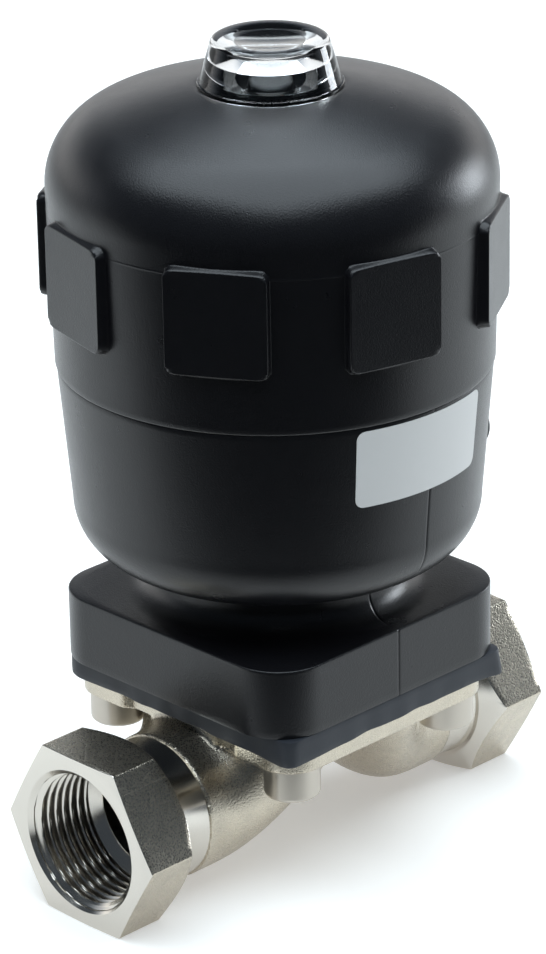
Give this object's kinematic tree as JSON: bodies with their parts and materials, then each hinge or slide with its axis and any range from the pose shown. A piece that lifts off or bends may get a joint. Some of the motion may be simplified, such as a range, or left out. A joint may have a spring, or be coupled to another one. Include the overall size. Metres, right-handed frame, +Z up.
{
  "type": "diaphragm valve",
  "caption": "Weir-type diaphragm valve: stainless body with threaded hexagon ends, black domed spring-closed pneumatic actuator, clear indicator cap on top.",
  "frame": {"origin": "on the plane under the two hexagons' lower flats, midway between the ports and on the spindle's axis", "axes": "+Z up the spindle, +X along the pipe from port_a to port_b, +Y completes the right-handed frame"},
  "size_m": [0.13, 0.106, 0.1953],
  "materials": {
    "cast_stainless": "glass-bead blasted casting with turned port ends",
    "stainless_fasteners": "smooth stainless steel",
    "turned_stainless": "turned stainless steel",
    "brass": "turned brass",
    "bronze": "sintered bronze",
    "epdm_rubber": "moulded rubber, satin",
    "seal_rubber": "moulded rubber",
    "black_polyamide": "fine-grained moulded polyamide",
    "natural_polyamide": "moulded polyamide",
    "slide_plastic": "filled slide plastic",
    "spring_steel": "drawn spring steel",
    "clear_plastic": "polished clear plastic",
    "signal_plastic": "moulded red plastic",
    "fitting_plastic": "moulded black plastic"
  },
  "bodies": {
    "root": {"valve_body": "cast_stainless", "body_screws": "stainless_fasteners", "thread_inserts": "brass", "diaphragm": "epdm_rubber", "guide_bush": "bronze", "spindle_o_rings": "seal_rubber", "spindle_wiper": "seal_rubber", "actuator_housing": "black_polyamide", "cover_o_ring": "seal_rubber", "spring_outer": "spring_steel", "spring_inner": "spring_steel", "spring_seat": "spring_steel", "actuator_cover": "black_polyamide", "cap_o_ring": "seal_rubber", "indicator_cap": "clear_plastic", "pilot_bush": "brass", "pilot_fitting": "fitting_plastic", "pilot_fitting_seal": "seal_rubber"},
    "stem": {"spindle": "turned_stainless", "compressor": "turned_stainless", "compressor_pin": "stainless_fasteners", "diaphragm_stud": "stainless_fasteners", "piston": "natural_polyamide", "piston_seal": "seal_rubber", "piston_guide_ring": "slide_plastic", "piston_washer": "stainless_fasteners", "piston_nut": "stainless_fasteners", "position_indicator": "signal_plastic"},
    "release_collar": {"pilot_collet": "fitting_plastic"}
  },
  "joints": [
    {"name": "stem_lift", "type": "slide", "parent": "root", "child": "stem", "axis": [0, 0, 1], "range_m": [0, 0.008], "stiffness_N_per_m": 12000, "deforming": ["spring_outer", "spring_inner", "diaphragm"]},
    {"name": "collar_push", "type": "slide", "parent": "root", "child": "release_collar", "axis": [1, 0, 0], "range_m": [-0.0012, 0], "stiffness_N_per_m": 500}
  ]
}
